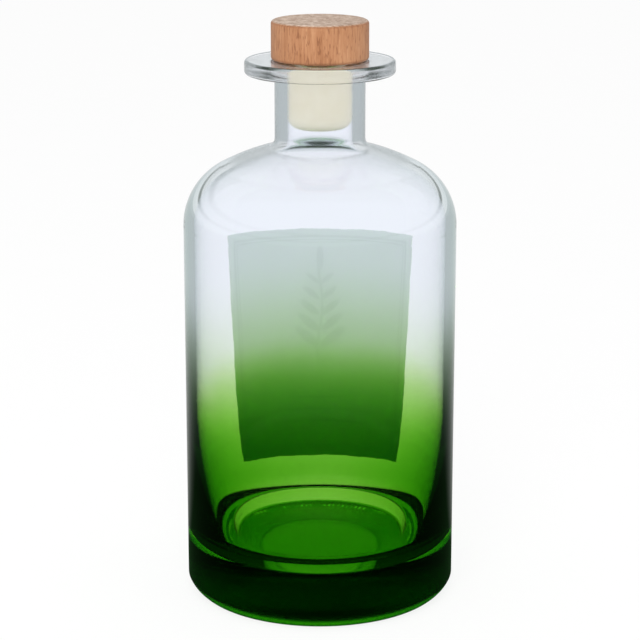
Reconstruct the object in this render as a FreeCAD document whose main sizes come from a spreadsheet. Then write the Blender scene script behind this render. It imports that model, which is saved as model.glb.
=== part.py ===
import FreeCAD, Part
import math
import os
from collections import namedtuple

import Sketcher
from FreeCAD import Vector

# A stoppered glass bottle with a wooden T-stopper and a paper label.
# Millimetres, +Z up, origin at the centre of the standing ring. The label faces +Y.

SIZES = {
    # glass, outside
    "body_diameter": 82,
    "bottle_height": 164.4,
    "shoulder_drop": 49.6,       # from the lip's top face down to where the wall turns in
    "shoulder_radius": 20,
    "shoulder_inset": 10.9,      # how far in from the wall the flatter crown takes over
    "crown_radius": 78,
    "heel_height": 4.5,          # mould seam above the standing ring
    "heel_inset": 3.8,           # standing ring's outer edge, in from the wall
    "heel_radius": 9,
    "foot_width": 6.2,           # width of the standing ring
    "dish_depth": 0.6,           # hollow under the base
    "dish_flat_diameter": 33.4,
    # glass, neck and lip
    "bore_diameter": 19.2,
    "neck_wall": 3.9,
    "neck_fillet": 2,
    "lip_overhang": 8.9,
    "lip_thickness": 4.2,
    "lip_round": 0.9,
    "lip_fillet": 1.5,
    "mouth_round": 1,
    # glass, inside
    "wall_thickness": 3.2,
    "flare_radius": 6,           # where the bore opens into the body
    "taper_height": 58,          # the wall thickens below this height
    "taper_radius": 200,
    "floor_height": 14.2,        # bottom of the shallow well in the middle of the floor
    "floor_corner": 5,           # between the wall and the ledge round the well
    "ledge_width": 1,
    "ledge_round": 0.8,
    "well_depth": 4.3,
    "well_run": 3,               # from the ledge's edge to the flat of the well
    "well_fillet": 1.2,
    # stopper
    "head_diameter": 29,
    "head_height": 11.6,
    "head_top_round": 1.1,
    "head_seat_round": 0.8,
    "plug_length": 20.4,
    "plug_round": 4,
    "plug_clearance": 0.06,      # between the plug and the bore, all round
    "spigot_diameter": 12,
    "spigot_length": 7,
    "spigot_clearance": 0.1,     # between the spigot and its recess in the head, all round
    "adhesive_thickness": 0.6,
    # label
    "label_bottom": 27.5,        # height of the lower edge
    "label_top_margin": 9.8,     # from the upper edge to where the wall turns in
    "label_top_width": 71.5,     # measured along the paper
    "label_bottom_width": 60.5,
    "label_thickness": 0.15,
    "label_standoff": 0.1,       # glue film between the paper and the glass
}

# Sizes that follow from the driving ones, as expressions on the sheet.
BODY_RADIUS = "(Sizes.body_diameter / 2)"
FOOT_RADIUS = f"({BODY_RADIUS} - Sizes.heel_inset)"
DISH_RADIUS = f"({FOOT_RADIUS} - Sizes.foot_width)"
DISH_FLAT_RADIUS = "(Sizes.dish_flat_diameter / 2)"
WALL_TOP = "(Sizes.bottle_height - Sizes.shoulder_drop)"
CROWN_START = f"({BODY_RADIUS} - Sizes.shoulder_inset)"
INNER_CROWN_RADIUS = "(Sizes.crown_radius - Sizes.wall_thickness)"
LEDGE_HEIGHT = "(Sizes.floor_height + Sizes.well_depth)"
BORE_RADIUS = "(Sizes.bore_diameter / 2)"
NECK_RADIUS = f"({BORE_RADIUS} + Sizes.neck_wall)"
LIP_RADIUS = f"({NECK_RADIUS} + Sizes.lip_overhang)"
LIP_UNDERSIDE = "(Sizes.bottle_height - Sizes.lip_thickness)"
HEAD_RADIUS = "(Sizes.head_diameter / 2)"
PLUG_RADIUS = f"({BORE_RADIUS} - Sizes.plug_clearance)"
SPIGOT_RADIUS = "(Sizes.spigot_diameter / 2)"
SPIGOT_TOP = "(Sizes.plug_length + Sizes.spigot_length)"
RECESS_RADIUS = f"({SPIGOT_RADIUS} + Sizes.spigot_clearance)"
RECESS_DEPTH = "(Sizes.spigot_length + Sizes.adhesive_thickness)"
LABEL_INSIDE = f"({BODY_RADIUS} + Sizes.label_standoff)"
LABEL_OUTSIDE = f"({LABEL_INSIDE} + Sizes.label_thickness)"
LABEL_TOP = f"({WALL_TOP} - Sizes.label_top_margin)"

doc = FreeCAD.newDocument("stoppered_bottle")
sheet = doc.addObject("Spreadsheet::Sheet", "Sizes")
for row, (alias, size) in enumerate(SIZES.items(), start=1):
    sheet.set(f"A{row}", alias)
    sheet.set(f"B{row}", str(size))
    sheet.setAlias(f"B{row}", alias)
doc.recompute()


def value(expression):
    """The present value of an expression on the sheet."""
    return float(sheet.evalExpression(expression))


def half_chord(width):
    """Half the straight width of a label of this width, once it is bent round the bottle."""
    return f"({LABEL_INSIDE} * sin({width} / (2 * {LABEL_INSIDE}) * 1 rad))"


# One line or arc of an outline: its number in the sketch, and which of its vertices come first and last.
Segment = namedtuple("Segment", "index first last")


class Outline:
    """A closed run of lines and arcs in a sketch: X is the distance from the axis, Y the height."""

    def __init__(self, sketch, x, y):
        self.sketch = sketch
        self.start = Vector(x, y, 0)
        self.here = self.start
        self.run = []

    def line(self, x, y, smooth=False):
        there = Vector(x, y, 0)
        shape = Part.LineSegment(self.here, there)
        return self._join(shape, there, smooth, backwards=False)

    def arc(self, x, y, centre, clockwise=False, smooth=True):
        there = Vector(x, y, 0)
        middle = Vector(*centre, 0)
        circle = Part.Circle(middle, Vector(0, 0, 1), (there - middle).Length)
        ends = [math.atan2(end.y - middle.y, end.x - middle.x) for end in (self.here, there)]
        if clockwise:
            ends.reverse()
        shape = Part.ArcOfCircle(circle, *ends)
        return self._join(shape, there, smooth, backwards=clockwise)

    def close(self):
        segment = self.line(self.start.x, self.start.y)
        first = self.run[0]
        self._add("Coincident", segment.index, segment.last, first.index, first.first)
        return segment

    def _join(self, shape, there, smooth, backwards):
        first, last = (2, 1) if backwards else (1, 2)
        segment = Segment(self.sketch.addGeometry(shape), first, last)
        if self.run:
            before = self.run[-1]
            kind = "Tangent" if smooth else "Coincident"
            self._add(kind, before.index, before.last, segment.index, segment.first)
        self.run.append(segment)
        self.here = there
        return segment

    def _add(self, *constraint):
        return self.sketch.addConstraint(Sketcher.Constraint(*constraint))

    def _bind(self, expression, *constraint):
        number = self._add(*constraint, value(expression))
        self.sketch.setExpression(f"Constraints[{number}]", expression)

    def level(self, *segments):
        for segment in segments:
            self._add("Horizontal", segment.index)

    def upright(self, *segments):
        for segment in segments:
            self._add("Vertical", segment.index)

    def start_on_axis(self):
        self._add("PointOnObject", self.run[0].index, self.run[0].first, -2)

    def end_on_axis(self, segment):
        self._add("PointOnObject", segment.index, segment.last, -2)

    def end_on_ground(self, segment):
        self._add("PointOnObject", segment.index, segment.last, -1)

    def mirrored(self, *segments):
        for segment in segments:
            self._add("Symmetric", segment.index, segment.first, segment.index, segment.last, -2)

    def same_centre(self, one, other):
        self._add("Coincident", one.index, 3, other.index, 3)

    def radius(self, expression, *segments):
        for segment in segments:
            self._bind(expression, "Radius", segment.index)

    def end_across(self, segment, expression):
        self._bind(expression, "DistanceX", -1, 1, segment.index, segment.last)

    def end_height(self, segment, expression):
        self._bind(expression, "DistanceY", -1, 1, segment.index, segment.last)

    def inward(self, expression, start, end):
        """Sets how much nearer the axis one segment ends than another."""
        self._bind(expression, "DistanceX", end.index, end.last, start.index, start.last)


def upright_sketch(body, name):
    """A sketch on the upright plane through the axis, with X across and Y up."""
    sketch = body.newObject("Sketcher::SketchObject", name)
    plane = next(feature for feature in body.Origin.OriginFeatures if feature.Role == "XZ_Plane")
    sketch.AttachmentSupport = (plane, "")
    sketch.MapMode = "FlatFace"
    return sketch


def turn(body, kind, sketch):
    """Adds or cuts what a section sweeps in a full turn about the vertical axis."""
    feature = body.newObject(kind, f"{sketch.Name}_turned")
    feature.Profile = sketch
    feature.ReferenceAxis = (sketch, ["V_Axis"])
    feature.Angle = 360
    doc.recompute()


def turned_body(name, draw_section):
    """A body made by turning a half section round the vertical axis."""
    body = doc.addObject("PartDesign::Body", name)
    sketch = upright_sketch(body, f"{name}_section")
    draw_section(sketch)
    turn(body, "PartDesign::Revolution", sketch)
    return body


def glass_section(sketch):
    """Half section of the glass: under the base, up the outside, over the lip and down the inside."""
    top = value("Sizes.bottle_height")
    wall_top = value(WALL_TOP)
    body = value(BODY_RADIUS)
    foot = value(FOOT_RADIUS)
    neck = value(NECK_RADIUS)
    lip = value(LIP_RADIUS)
    under_lip = value(LIP_UNDERSIDE)
    bore = value(BORE_RADIUS)
    wall = value("Sizes.wall_thickness")
    dish_depth = value("Sizes.dish_depth")
    heel_height = value("Sizes.heel_height")
    heel_radius = value("Sizes.heel_radius")
    shoulder_radius = value("Sizes.shoulder_radius")
    crown_radius = value("Sizes.crown_radius")
    neck_fillet = value("Sizes.neck_fillet")
    lip_fillet = value("Sizes.lip_fillet")
    lip_round = value("Sizes.lip_round")
    mouth_round = value("Sizes.mouth_round")
    flare = value("Sizes.flare_radius")
    taper_height = value("Sizes.taper_height")
    taper_radius = value("Sizes.taper_radius")
    floor_height = value("Sizes.floor_height")
    ledge_height = value(LEDGE_HEIGHT)
    corner = value("Sizes.floor_corner")
    ledge_round = value("Sizes.ledge_round")
    well_fillet = value("Sizes.well_fillet")

    # The heel arc bulges outwards between the standing ring and the mould seam.
    chord = Vector(body - foot, heel_height, 0)
    rise = math.sqrt(heel_radius**2 - (chord.Length / 2) ** 2)
    heel_centre = (
        (foot + body) / 2 - rise * chord.y / chord.Length,
        heel_height / 2 + rise * chord.x / chord.Length,
    )
    # The shoulder is tangent to the wall, the crown to the shoulder.
    shoulder_centre = (body - shoulder_radius, wall_top)
    lean = math.acos((value(CROWN_START) - shoulder_centre[0]) / shoulder_radius)
    crown_centre = (
        shoulder_centre[0] + (shoulder_radius - crown_radius) * math.cos(lean),
        shoulder_centre[1] + (shoulder_radius - crown_radius) * math.sin(lean),
    )

    def on_crown(x, reach):
        """Height at which a point at x lies at this distance from the crown's centre."""
        return crown_centre[1] + math.sqrt(reach**2 - (x - crown_centre[0]) ** 2)

    def towards(start, end, distance):
        """The point at this distance from start, on the way to end."""
        span = math.dist(start, end)
        return tuple(a + (b - a) * distance / span for a, b in zip(start, end))

    fillet_x = neck + neck_fillet
    fillet_centre = (fillet_x, on_crown(fillet_x, crown_radius + neck_fillet))
    flare_x = bore + flare
    flare_centre = (flare_x, on_crown(flare_x, crown_radius - wall + flare))
    taper_centre = (body - wall - taper_radius, taper_height)
    corner_height = ledge_height + corner
    corner_reach = math.sqrt((taper_radius - corner) ** 2 - (corner_height - taper_height) ** 2)
    corner_centre = (taper_centre[0] + corner_reach, corner_height)
    # The slope into the well is tangent to the ledge's round on one side and to the well's fillet on the other.
    ledge_edge = corner_centre[0] - value("Sizes.ledge_width")
    well_edge = ledge_edge - value("Sizes.well_run")
    ledge_round_centre = (ledge_edge, ledge_height - ledge_round)
    well_fillet_centre = (well_edge, floor_height + well_fillet)
    across = ledge_round_centre[0] - well_fillet_centre[0]
    down = ledge_round_centre[1] - well_fillet_centre[1]
    slope = math.asin((ledge_round + well_fillet) / math.hypot(across, down)) + math.atan2(down, across)

    run = Outline(sketch, 0, dish_depth)
    dish_flat = run.line(value(DISH_FLAT_RADIUS), dish_depth)
    dish_slope = run.line(value(DISH_RADIUS), 0)
    foot_ring = run.line(foot, 0)
    heel = run.arc(body, heel_height, heel_centre, smooth=False)
    outer_wall = run.line(body, wall_top)
    shoulder = run.arc(*towards(crown_centre, shoulder_centre, crown_radius), shoulder_centre)
    crown = run.arc(*towards(crown_centre, fillet_centre, crown_radius), crown_centre)
    neck_root = run.arc(neck, fillet_centre[1], fillet_centre, clockwise=True)
    neck_wall = run.line(neck, under_lip - lip_fillet, smooth=True)
    lip_root_centre = (neck + lip_fillet, under_lip - lip_fillet)
    lip_root = run.arc(neck + lip_fillet, under_lip, lip_root_centre, clockwise=True)
    lip_underside = run.line(lip - lip_round, under_lip, smooth=True)
    lip_lower_round = run.arc(lip, under_lip + lip_round, (lip - lip_round, under_lip + lip_round))
    lip_edge = run.line(lip, top - lip_round, smooth=True)
    lip_upper_round = run.arc(lip - lip_round, top, (lip - lip_round, top - lip_round))
    lip_top = run.line(bore + mouth_round, top, smooth=True)
    mouth = run.arc(bore, top - mouth_round, (bore + mouth_round, top - mouth_round))
    bore_wall = run.line(bore, flare_centre[1], smooth=True)
    bore_flare = run.arc(*towards(flare_centre, crown_centre, flare), flare_centre)
    inner_crown = run.arc(
        *towards(crown_centre, shoulder_centre, crown_radius - wall), crown_centre, clockwise=True
    )
    inner_shoulder = run.arc(body - wall, wall_top, shoulder_centre, clockwise=True)
    inner_wall = run.line(body - wall, taper_height, smooth=True)
    taper = run.arc(*towards(taper_centre, corner_centre, taper_radius), taper_centre, clockwise=True)
    floor_corner = run.arc(corner_centre[0], ledge_height, corner_centre, clockwise=True)
    ledge = run.line(ledge_edge, ledge_height, smooth=True)
    ledge_rounding = run.arc(
        ledge_edge - ledge_round * math.sin(slope),
        ledge_round_centre[1] + ledge_round * math.cos(slope),
        ledge_round_centre,
    )
    run.line(
        well_edge + well_fillet * math.sin(slope),
        well_fillet_centre[1] - well_fillet * math.cos(slope),
        smooth=True,
    )
    well_corner = run.arc(well_edge, floor_height, well_fillet_centre, clockwise=True)
    floor = run.line(0, floor_height, smooth=True)
    run.close()

    run.start_on_axis()
    run.end_on_axis(floor)
    run.level(dish_flat, foot_ring, lip_underside, lip_top, ledge, floor)
    run.upright(outer_wall, neck_wall, lip_edge, bore_wall, inner_wall)
    run.same_centre(inner_crown, crown)
    run.same_centre(inner_shoulder, shoulder)
    run.end_on_ground(dish_slope)
    run.end_height(dish_flat, "Sizes.dish_depth")
    run.end_across(dish_flat, DISH_FLAT_RADIUS)
    run.end_across(dish_slope, DISH_RADIUS)
    run.end_across(foot_ring, FOOT_RADIUS)
    run.end_across(heel, BODY_RADIUS)
    run.end_height(heel, "Sizes.heel_height")
    run.radius("Sizes.heel_radius", heel)
    run.end_height(outer_wall, WALL_TOP)
    run.radius("Sizes.shoulder_radius", shoulder)
    run.end_across(shoulder, CROWN_START)
    run.radius("Sizes.crown_radius", crown)
    run.radius("Sizes.neck_fillet", neck_root)
    run.end_across(neck_wall, NECK_RADIUS)
    run.radius("Sizes.lip_fillet", lip_root)
    run.end_height(lip_underside, LIP_UNDERSIDE)
    run.radius("Sizes.lip_round", lip_lower_round, lip_upper_round)
    run.end_across(lip_edge, LIP_RADIUS)
    run.end_height(lip_top, "Sizes.bottle_height")
    run.radius("Sizes.mouth_round", mouth)
    run.end_across(bore_wall, BORE_RADIUS)
    run.radius("Sizes.flare_radius", bore_flare)
    run.radius(INNER_CROWN_RADIUS, inner_crown)
    run.end_height(inner_wall, "Sizes.taper_height")
    run.radius("Sizes.taper_radius", taper)
    run.radius("Sizes.floor_corner", floor_corner)
    run.end_height(ledge, LEDGE_HEIGHT)
    run.inward("Sizes.ledge_width", floor_corner, ledge)
    run.radius("Sizes.ledge_round", ledge_rounding)
    run.inward("Sizes.well_run", ledge, well_corner)
    run.radius("Sizes.well_fillet", well_corner)
    run.end_height(floor, "Sizes.floor_height")


def head_section(sketch):
    """Half section of the turned head, from the face that seats on the lip."""
    radius = value(HEAD_RADIUS)
    height = value("Sizes.head_height")
    recess = value(RECESS_RADIUS)
    recess_depth = value(RECESS_DEPTH)
    seat_round = value("Sizes.head_seat_round")
    top_round = value("Sizes.head_top_round")

    run = Outline(sketch, 0, recess_depth)
    recess_floor = run.line(recess, recess_depth)
    recess_wall = run.line(recess, 0)
    seat = run.line(radius - seat_round, 0)
    seat_edge = run.arc(radius, seat_round, (radius - seat_round, seat_round))
    side = run.line(radius, height - top_round, smooth=True)
    top_edge = run.arc(radius - top_round, height, (radius - top_round, height - top_round))
    top = run.line(0, height, smooth=True)
    run.close()

    run.start_on_axis()
    run.end_on_axis(top)
    run.level(recess_floor, seat, top)
    run.upright(recess_wall, side)
    run.end_on_ground(recess_wall)
    run.end_across(recess_wall, RECESS_RADIUS)
    run.end_height(recess_floor, RECESS_DEPTH)
    run.radius("Sizes.head_seat_round", seat_edge)
    run.end_across(side, HEAD_RADIUS)
    run.radius("Sizes.head_top_round", top_edge)
    run.end_height(top, "Sizes.head_height")


def plug_section(sketch):
    """Half section of the plug, from its lower end to the top of the spigot glued into the head."""
    radius = value(PLUG_RADIUS)
    length = value("Sizes.plug_length")
    end_round = value("Sizes.plug_round")
    spigot = value(SPIGOT_RADIUS)
    spigot_top = value(SPIGOT_TOP)

    run = Outline(sketch, 0, 0)
    lower_end = run.line(radius - end_round, 0)
    lower_edge = run.arc(radius, end_round, (radius - end_round, end_round))
    side = run.line(radius, length, smooth=True)
    shoulder = run.line(spigot, length)
    spigot_side = run.line(spigot, spigot_top)
    spigot_end = run.line(0, spigot_top)
    run.close()

    run.start_on_axis()
    run.end_on_axis(spigot_end)
    run.level(lower_end, shoulder, spigot_end)
    run.upright(side, spigot_side)
    run.end_on_ground(lower_end)
    run.radius("Sizes.plug_round", lower_edge)
    run.end_across(side, PLUG_RADIUS)
    run.end_height(side, "Sizes.plug_length")
    run.end_across(spigot_side, SPIGOT_RADIUS)
    run.end_height(spigot_end, SPIGOT_TOP)


def ring_section(sketch, inside, outside):
    """Upright rectangle as tall as the bottle, from one distance from the axis, or the axis, to another."""
    height = value("Sizes.bottle_height")
    near = value(inside) if inside else 0
    far = value(outside)

    run = Outline(sketch, near, height)
    near_side = run.line(near, 0)
    bottom = run.line(far, 0)
    far_side = run.line(far, height)
    top = run.close()

    run.level(bottom, top)
    run.upright(near_side, far_side)
    run.end_on_ground(near_side)
    if inside:
        run.end_across(near_side, inside)
    else:
        run.end_on_axis(near_side)
    run.end_across(far_side, outside)
    run.end_height(far_side, "Sizes.bottle_height")


def label_panel(sketch):
    """Outline of the label seen from its front: level top and bottom, narrower at the bottom."""
    bottom = value("Sizes.label_bottom")
    top = value(LABEL_TOP)
    low_half = half_chord("Sizes.label_bottom_width")
    high_half = half_chord("Sizes.label_top_width")

    run = Outline(sketch, -value(low_half), bottom)
    lower_edge = run.line(value(low_half), bottom)
    right_edge = run.line(value(high_half), top)
    upper_edge = run.line(-value(high_half), top)
    run.close()

    run.mirrored(lower_edge, upper_edge)
    run.end_across(lower_edge, low_half)
    run.end_across(right_edge, high_half)
    run.end_height(lower_edge, "Sizes.label_bottom")
    run.end_height(right_edge, LABEL_TOP)


def paper_label():
    """A panel as deep as the bottle's radius, cut down to a thin skin on the +Y side of the wall."""
    body = doc.addObject("PartDesign::Body", "paper_label")
    outline = upright_sketch(body, "label_outline")
    label_panel(outline)
    panel = body.newObject("PartDesign::Pad", "label_panel")
    panel.Profile = outline
    panel.Reversed = True
    panel.setExpression("Length", f"{LABEL_OUTSIDE} + Sizes.label_thickness")
    doc.recompute()
    for name, inside, outside in (
        ("bottle_side", None, LABEL_INSIDE),
        ("outer_trim", LABEL_OUTSIDE, "Sizes.body_diameter"),
    ):
        before = body.Shape.Volume
        sketch = upright_sketch(body, name)
        ring_section(sketch, inside, outside)
        turn(body, "PartDesign::Groove", sketch)
        if body.Shape.Volume >= before:
            raise RuntimeError(f"{name} cuts nothing from the label")
    return body


def stopper_adhesive():
    """Pad of hot-melt between the end of the spigot and the floor of its recess."""
    pad = doc.addObject("Part::Cylinder", "stopper_adhesive")
    pad.setExpression("Radius", SPIGOT_RADIUS)
    pad.setExpression("Height", "Sizes.adhesive_thickness")
    return pad


bottle = turned_body("glass_bottle", glass_section)
head = turned_body("stopper_head", head_section)
plug = turned_body("stopper_plug", plug_section)
adhesive = stopper_adhesive()
label = paper_label()

# The head seats on the lip, the plug hangs below it, and the adhesive lies on the end of the spigot.
head.setExpression("Placement.Base.z", "Sizes.bottle_height")
plug.setExpression("Placement.Base.z", "Sizes.bottle_height - Sizes.plug_length")
adhesive.setExpression("Placement.Base.z", "Sizes.bottle_height + Sizes.spigot_length")
doc.recompute()

for item in doc.Objects:
    if "Invalid" in item.State or "Error" in item.State:
        raise RuntimeError(f"{item.Label} failed: {item.State}")
    if item.isDerivedFrom("Sketcher::SketchObject") and not item.FullyConstrained:
        raise RuntimeError(f"{item.Label} is not fully constrained")

nodes = (bottle, head, plug, adhesive, label)
for node in nodes:
    if node.Shape.isNull() or not node.Shape.isValid() or len(node.Shape.Solids) != 1:
        raise RuntimeError(f"{node.Label} is not one valid solid")

os.makedirs("parts", exist_ok=True)
for node in nodes:
    node.Shape.exportStep(f"parts/{node.Label}.step")
    print(f"{node.Label}: {node.Shape.Volume / 1000:.2f} cm3")
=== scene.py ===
import math

import bmesh
import bpy
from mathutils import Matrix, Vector


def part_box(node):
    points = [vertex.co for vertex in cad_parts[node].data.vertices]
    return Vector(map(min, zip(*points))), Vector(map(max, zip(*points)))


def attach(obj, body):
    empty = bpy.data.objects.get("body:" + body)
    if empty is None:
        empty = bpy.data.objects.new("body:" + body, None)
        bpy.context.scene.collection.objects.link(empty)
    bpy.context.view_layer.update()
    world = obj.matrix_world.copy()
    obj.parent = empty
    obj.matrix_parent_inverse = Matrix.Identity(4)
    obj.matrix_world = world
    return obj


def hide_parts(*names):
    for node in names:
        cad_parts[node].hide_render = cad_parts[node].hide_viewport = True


# A glass bottle sprayed green from the base upwards, with a wooden T-stopper and a paper label.
# Metres, +Z up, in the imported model's frame. The label faces +Y and the camera looks along +Y.

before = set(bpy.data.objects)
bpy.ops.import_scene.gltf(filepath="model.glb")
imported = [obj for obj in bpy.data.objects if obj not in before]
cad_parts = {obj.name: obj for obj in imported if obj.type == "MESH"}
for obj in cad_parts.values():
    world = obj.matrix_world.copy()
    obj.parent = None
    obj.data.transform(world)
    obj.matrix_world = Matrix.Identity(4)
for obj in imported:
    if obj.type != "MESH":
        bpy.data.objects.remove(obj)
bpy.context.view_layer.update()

MM = 0.001

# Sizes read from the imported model.
BODY_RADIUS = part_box("glass_bottle")[1][0]
BOTTLE_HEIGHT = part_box("glass_bottle")[1][2]
HEAD_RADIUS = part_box("stopper_head")[1][0]
HEAD_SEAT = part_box("stopper_head")[0][2]
HEAD_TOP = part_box("stopper_head")[1][2]
PLUG_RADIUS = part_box("stopper_plug")[1][0]
PLUG_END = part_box("stopper_plug")[0][2]
SPIGOT_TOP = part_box("stopper_plug")[1][2]
LABEL_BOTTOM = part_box("paper_label")[0][2]
LABEL_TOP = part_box("paper_label")[1][2]
LABEL_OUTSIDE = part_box("paper_label")[1][1]

# Glass, outside.
WALL_TOP = BOTTLE_HEIGHT - 49.6 * MM
SHOULDER_RADIUS = 20 * MM
SHOULDER_INSET = 10.9 * MM
CROWN_RADIUS = 78 * MM
SEAM_HEIGHT = 4.5 * MM
HEEL_RADIUS = 9 * MM
FOOT_RADIUS = BODY_RADIUS - 3.8 * MM
DISH_RADIUS = FOOT_RADIUS - 6.2 * MM
DISH_FLAT_RADIUS = 16.7 * MM
DISH_DEPTH = 0.6 * MM
FOOT_RIDGES = 128
FOOT_RIDGE_DEPTH = 0.15 * MM

# Glass, neck and lip.
BORE_RADIUS = 9.6 * MM
NECK_RADIUS = 13.5 * MM
NECK_FILLET = 2.8 * MM
LIP_RADIUS = 22.4 * MM
LIP_UNDERSIDE = BOTTLE_HEIGHT - 4.2 * MM
LIP_ROUND = 0.9 * MM
LIP_FILLET = 1.5 * MM
MOUTH_ROUND = 1 * MM

# Glass, inside.
WALL = 3.2 * MM
FLARE_RADIUS = 6 * MM
TAPER_HEIGHT = 58 * MM
TAPER_RADIUS = 200 * MM
FLOOR_HEIGHT = 14.2 * MM
FLOOR_CORNER = 5 * MM
LEDGE_HEIGHT = FLOOR_HEIGHT + 4.3 * MM
LEDGE_WIDTH = 1 * MM
LEDGE_ROUND = 0.8 * MM
WELL_RUN = 3 * MM
WELL_FILLET = 1.2 * MM

# Stopper.
HEAD_TOP_ROUND = 1.1 * MM
HEAD_SEAT_ROUND = 0.8 * MM
HEAD_MIDDLE = (HEAD_SEAT + HEAD_TOP) / 2
HEAD_MIDDLE_REACH = HEAD_TOP - HEAD_TOP_ROUND - HEAD_MIDDLE  # half of the straight side
RECESS_RADIUS = 6.1 * MM
RECESS_TOP = HEAD_SEAT + 7.6 * MM
PLUG_ROUND = 4 * MM
SPIGOT_RADIUS = 6 * MM

# Label.
LABEL_THICKNESS = 0.15 * MM
LABEL_INSIDE = LABEL_OUTSIDE - LABEL_THICKNESS
LABEL_TOP_WIDTH = 71.5 * MM
LABEL_BOTTOM_WIDTH = 60.5 * MM

# Where the camera stood, found from the bottle's outline in the photograph.
CAMERA_PLACE = (0, -670.1 * MM, 264.1 * MM)
CAMERA_PITCH = math.radians(-14.99)
CAMERA_LENS = 128.33  # millimetres, on a 36 mm sensor


class Signal:
    """A node's output that can be used in arithmetic. Each operation adds a Math node."""

    def __init__(self, nodes, socket):
        self.nodes = nodes
        self.socket = socket

    def of(self, output):
        """Another output of the same node."""
        return Signal(self.nodes, self.socket.node.outputs[output])

    def math(self, operation, *values):
        return self.nodes.node("ShaderNodeMath", {"operation": operation}, dict(enumerate(values)))

    def __add__(self, other):
        return self.math("ADD", self, other)

    def __radd__(self, other):
        return self.math("ADD", other, self)

    def __sub__(self, other):
        return self.math("SUBTRACT", self, other)

    def __rsub__(self, other):
        return self.math("SUBTRACT", other, self)

    def __mul__(self, other):
        return self.math("MULTIPLY", self, other)

    def __rmul__(self, other):
        return self.math("MULTIPLY", other, self)

    def __truediv__(self, other):
        return self.math("DIVIDE", self, other)

    def __pow__(self, other):
        return self.math("POWER", self, other)

    def __rpow__(self, other):
        return self.math("POWER", other, self)

    def __abs__(self):
        return self.math("ABSOLUTE", self)

    def __lt__(self, other):
        return self.math("LESS_THAN", self, other)

    def __gt__(self, other):
        return self.math("GREATER_THAN", self, other)

    def floor(self):
        return self.math("FLOOR", self)

    def sin(self):
        return self.math("SINE", self)

    def cos(self):
        return self.math("COSINE", self)

    def max(self, other):
        return self.math("MAXIMUM", self, other)


class Nodes:
    """Adds nodes to one tree."""

    def __init__(self, tree):
        self.tree = tree

    def node(self, kind, settings=None, inputs=None, output=0):
        """A new node with its settings, then its sockets' values or links. Gives one of its outputs."""
        node = self.tree.nodes.new(kind)
        for name, setting in (settings or {}).items():
            if name == "stops":
                self._set_stops(node.color_ramp, setting)
            else:
                setattr(node, name, setting)
        for name, item in (inputs or {}).items():
            if isinstance(item, Signal):
                self.tree.links.new(item.socket, node.inputs[name])
            else:
                node.inputs[name].default_value = item
        return Signal(self, node.outputs[output]) if node.outputs else None

    @staticmethod
    def _set_stops(ramp, stops):
        for position, colour in stops[2:]:
            ramp.elements.new(position)
        for element, (position, colour) in zip(ramp.elements, stops):
            element.position = position
            element.color = (*colour, 1)

    def ramped(self, value, low, high, smooth=True):
        """0 where value is at low, 1 where it is at high, held beyond them."""
        settings = {"interpolation_type": "SMOOTHSTEP" if smooth else "LINEAR", "clamp": True}
        inputs = {"Value": value, "From Min": low, "From Max": high}
        return self.node("ShaderNodeMapRange", settings, inputs)

    def parts(self, vector):
        """The three numbers of a vector."""
        split = self.node("ShaderNodeSeparateXYZ", None, {"Vector": vector})
        return split, split.of("Y"), split.of("Z")

    def vector(self, x, y, z):
        return self.node("ShaderNodeCombineXYZ", None, {"X": x, "Y": y, "Z": z})

    def colour(self, red, green, blue):
        return self.node("ShaderNodeCombineColor", None, {"Red": red, "Green": green, "Blue": blue})

    def blend(self, factor, first, second, how="MIX"):
        """Two colours mixed by a factor."""
        settings = {"data_type": "RGBA", "blend_type": how}
        sides = {"Factor": factor, 6: first, 7: second}
        mixed = self.node("ShaderNodeMix", settings, sides)
        return mixed.of(2)

    def object_place(self):
        """Object coordinates, in metres."""
        return self.node("ShaderNodeTexCoord", None, None, "Object")

    def stretched(self, scale, turn=(0, 0, 0)):
        """Object coordinates, turned and then scaled, for a pattern with a direction."""
        inputs = {"Vector": self.object_place(), "Rotation": turn, "Scale": scale}
        return self.node("ShaderNodeMapping", None, inputs)

    def noise(self, place, scale, detail=2, roughness=0.5, distortion=0):
        inputs = {
            "Vector": place,
            "Scale": scale,
            "Detail": detail,
            "Roughness": roughness,
            "Distortion": distortion,
        }
        return self.node("ShaderNodeTexNoise", None, inputs)

    def bump(self, height, strength, distance):
        inputs = {"Height": height, "Strength": strength, "Distance": distance}
        return self.node("ShaderNodeBump", None, inputs)


def new_finish(name):
    """An empty material and the nodes of its tree."""
    material = bpy.data.materials.new(name)
    material.use_nodes = True
    material.node_tree.nodes.clear()
    return material, Nodes(material.node_tree)


def show(nodes, shader):
    nodes.node("ShaderNodeOutputMaterial", None, {"Surface": shader})


def principled(nodes, **inputs):
    """A Principled shader. Input names have underscores for spaces."""
    named = {name.replace("_", " "): item for name, item in inputs.items()}
    return nodes.node("ShaderNodeBsdfPrincipled", None, named)


# Glass and its lacquer. The lacquer is a mist above mid height, a coat below it and heavy underneath.
GLASS_IOR = 1.5
GLASS_TINT = (0.87, 0.915, 1.0)
LACQUER_ABSORBS = (0.52, 0.19, 0.98)
MIST_TOP, MIST_FULL, MIST_DENSITY = 95 * MM, 55 * MM, 0.8
COAT_TOP, COAT_FULL, COAT_DENSITY = 70 * MM, 34 * MM, 5.0
BASE_TOP, BASE_FULL, BASE_DENSITY = 24 * MM, 8 * MM, -3.8
HEEL_DENSITY, UNDERSIDE_DENSITY, DISH_DENSITY = 5, 12, 9.5
DISH_SPRAY_RADIUS = 19.5 * MM
DISH_EDGE_DENSITY = 5  # more of it where the spray in the dish ends
POOLED_DENSITY = 4  # more of it on the outer part of the standing ring
WORN_DENSITY = 3  # on the crests of the standing ring
EDGE_TINT_AND_SHADE = (0.62, 0.8, 0.72, 1)  # of the glass seen along the wall: partly its own tint over a longer path, partly painted edge shade
SATIN = 0.2  # roughness of the heavy coat underneath
NECK_HAZE = 0.15  # roughness of the pressed neck and lip


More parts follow.
